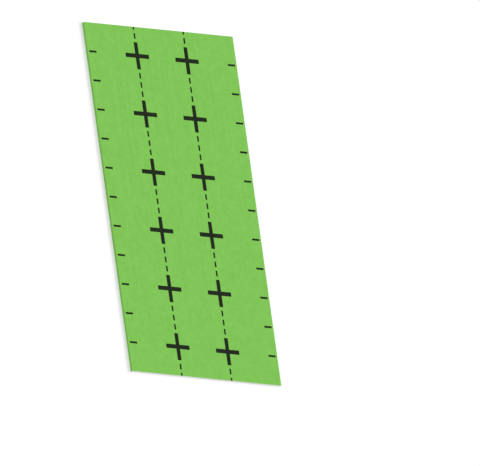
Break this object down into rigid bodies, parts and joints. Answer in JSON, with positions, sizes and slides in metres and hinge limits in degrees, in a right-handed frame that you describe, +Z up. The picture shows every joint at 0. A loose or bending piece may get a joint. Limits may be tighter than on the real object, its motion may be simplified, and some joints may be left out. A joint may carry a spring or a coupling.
{
  "type": "drywall sheet",
  "caption": "Flat rectangular gypsum board with a green mat face wrapped round its long edges and square sawn white ends, screwed to framing to close a wall or ceiling.",
  "frame": {"origin": "on the floor, under the middle of the sheet's back", "axes": "+X across the width, +Y along the length, +Z up out of the green face"},
  "size_m": [1.22, 2.44, 0.0159],
  "materials": {
    "facing": "matte"
  },
  "bodies": {
    "root": {"drywall_sheet": "facing"}
  },
  "joints": []
}
